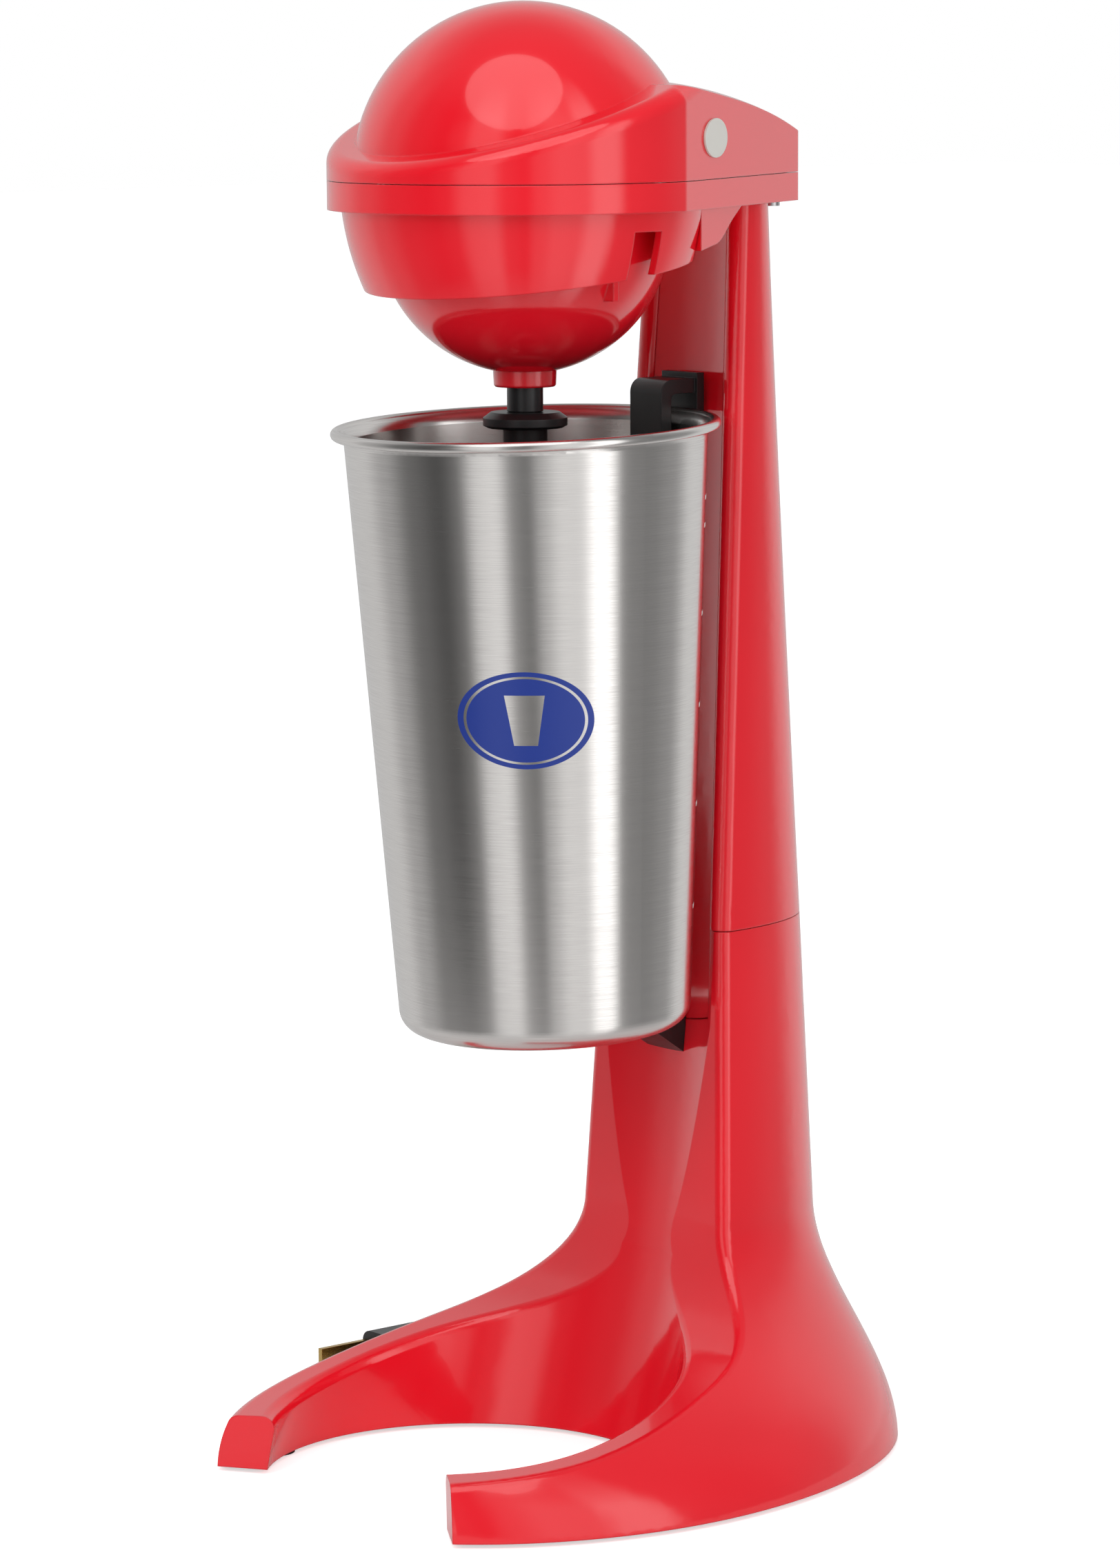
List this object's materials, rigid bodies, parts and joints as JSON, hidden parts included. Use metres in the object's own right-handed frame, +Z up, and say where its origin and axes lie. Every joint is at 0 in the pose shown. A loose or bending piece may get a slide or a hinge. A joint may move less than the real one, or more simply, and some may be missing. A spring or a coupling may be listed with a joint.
{
  "type": "milkshake mixer",
  "caption": "Table-top milkshake mixer: red plastic stand and dome head over a tall brushed steel cup with a spindle agitator.",
  "frame": {"origin": "on the bench plane under the spindle axis", "axes": "+Z up along the spindle, -Y to the front where the cup stands between the legs, +Y to the column"},
  "size_m": [0.1804, 0.1761, 0.369],
  "materials": {
    "red_gloss": "high-gloss moulded plastic",
    "black_satin": "satin moulded plastic",
    "white_nylon": "natural nylon",
    "rubber": "soft matt rubber",
    "brushed_cup": "stainless, brushed round the cup",
    "screw_steel": "zinc-plated",
    "cast_aluminium": "as cast",
    "zinc_plate": "zinc-plated sheet",
    "lamination": "stacked steel sheet",
    "copper_wire": "enamelled copper",
    "brass": "turned",
    "graphite": "pressed carbon",
    "board_green": "circuit board",
    "cream_enamel": "plain satin enamel"
  },
  "bodies": {
    "stand": {"base_bottom_plate": "black_satin", "base_foot": "red_gloss", "base_screws": "screw_steel", "brush_holders": "black_satin", "brush_springs": "screw_steel", "carbon_brushes": "graphite", "column_front_panel": "red_gloss", "column_sleeve": "white_nylon", "column_upper": "red_gloss", "cover_screws": "screw_steel", "cup_rest": "black_satin", "cup_rest_screws": "screw_steel", "field_coils": "copper_wire", "head_lower_housing": "red_gloss", "head_upper_cover": "red_gloss", "interlock_guide": "black_satin", "lower_bush": "brass", "microswitch": "black_satin", "motor_bolts": "screw_steel", "motor_bowl_cover": "red_gloss", "motor_damper": "rubber", "motor_lower_bracket": "cast_aluminium", "motor_mount": "zinc_plate", "motor_mount_screws": "screw_steel", "motor_upper_bracket": "cast_aluminium", "neck_fairing": "red_gloss", "neck_screws": "screw_steel", "plug_blades": "brass", "power_cord": "rubber", "power_plug": "black_satin", "rubber_feet": "rubber", "shaft_seal": "rubber", "side_plates": "cream_enamel", "speed_board": "board_green", "speed_switch_body": "black_satin", "spindle_collar": "red_gloss", "stator_core": "lamination", "strain_relief": "rubber", "upper_bush": "brass", "wiring_loom": "rubber"},
    "rotor": {"motor_shaft": "screw_steel", "armature_core": "lamination", "armature_windings": "copper_wire", "commutator": "copper_wire", "cooling_fan": "white_nylon", "drive_coupling": "black_satin"},
    "agitator": {"agitator_rod": "black_satin", "mixing_disc": "black_satin"},
    "hook": {"interlock_hook": "black_satin", "interlock_spring": "screw_steel"},
    "plunger": {"microswitch_plunger": "white_nylon"},
    "switch": {"speed_switch_knob": "black_satin"},
    "cup": {"mixing_cup": "brushed_cup"}
  },
  "joints": [
    {"name": "rotor_spin", "type": "hinge", "parent": "stand", "child": "rotor", "pos_m": [0, 0, 0.3], "axis": [0, 0, 1], "continuous": true},
    {"name": "agitator_drop", "type": "slide", "parent": "rotor", "child": "agitator", "axis": [0, 0, -1], "range_m": [0, 0.008]},
    {"name": "hook_lift", "type": "slide", "parent": "stand", "child": "hook", "axis": [0, 0, 1], "range_m": [0, 0.002], "deforming": ["interlock_spring"]},
    {"name": "plunger_press", "type": "slide", "parent": "stand", "child": "plunger", "axis": [0, 0, 1], "range_m": [0, 0.002]},
    {"name": "switch_slide", "type": "slide", "parent": "stand", "child": "switch", "axis": [0, 0.9613, -0.2756], "range_m": [-0.0035, 0.0035]},
    {"name": "cup_swing", "type": "hinge", "parent": "stand", "child": "cup", "pos_m": [0, 0.0473, 0.2657], "axis": [-1, 0, 0], "range_deg": [0, 8]}
  ],
  "couplings": [
    {"joint": "plunger_press", "follows": "hook_lift", "ratio": 1}
  ]
}
